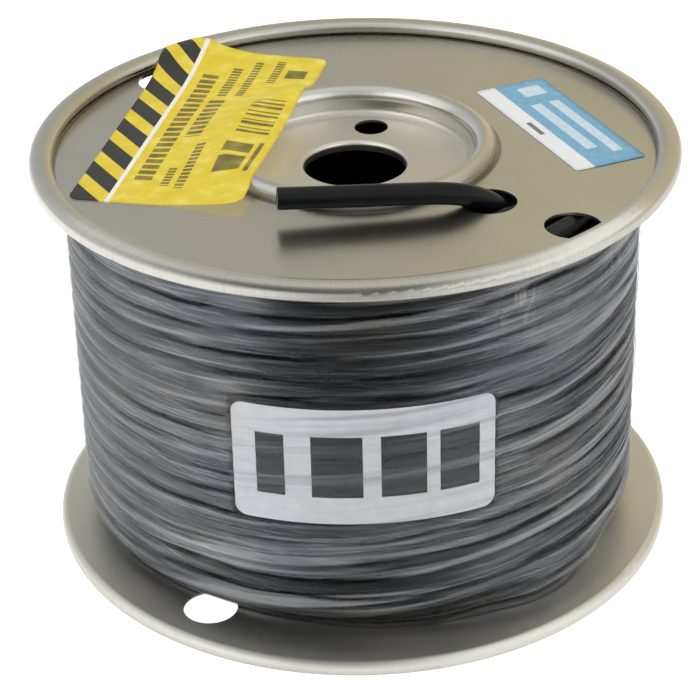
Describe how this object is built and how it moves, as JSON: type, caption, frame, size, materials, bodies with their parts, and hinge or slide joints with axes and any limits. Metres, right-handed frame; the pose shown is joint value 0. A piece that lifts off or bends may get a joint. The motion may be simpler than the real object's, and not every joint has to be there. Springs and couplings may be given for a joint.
{
  "type": "wire spool",
  "caption": "Flanged steel wire spool, wound with black insulated wire under clear stretch film, with a hub bore for a reel rod.",
  "frame": {"origin": "centre of the bottom rim's plane, where the spool stands", "axes": "+Z along the spool's axis, up; the free end of the wire lies on the top flange, towards -Y"},
  "size_m": [0.14, 0.14, 0.0967],
  "materials": {
    "flange_steel": "satin tinplate with fine brush marks",
    "barrel_steel": "satin",
    "hub_steel": "satin",
    "wire_insulation": "satin black",
    "copper": "bright stranded copper",
    "film": "clear stretch film",
    "label_white": "coated paper",
    "label_yellow": "coated paper",
    "label_blue": "coated paper"
  },
  "bodies": {
    "root": {"top_flange": "flange_steel", "bottom_flange": "flange_steel", "barrel": "barrel_steel", "top_hub_plate": "hub_steel", "bottom_hub_plate": "hub_steel", "winding_core": "wire_insulation", "winding_outer_layer": "wire_insulation", "start_lead_jacket": "wire_insulation", "start_lead_conductor": "copper", "stretch_film": "film", "front_label": "label_white", "hazard_label": "label_yellow", "blue_label": "label_blue"}
  },
  "joints": []
}
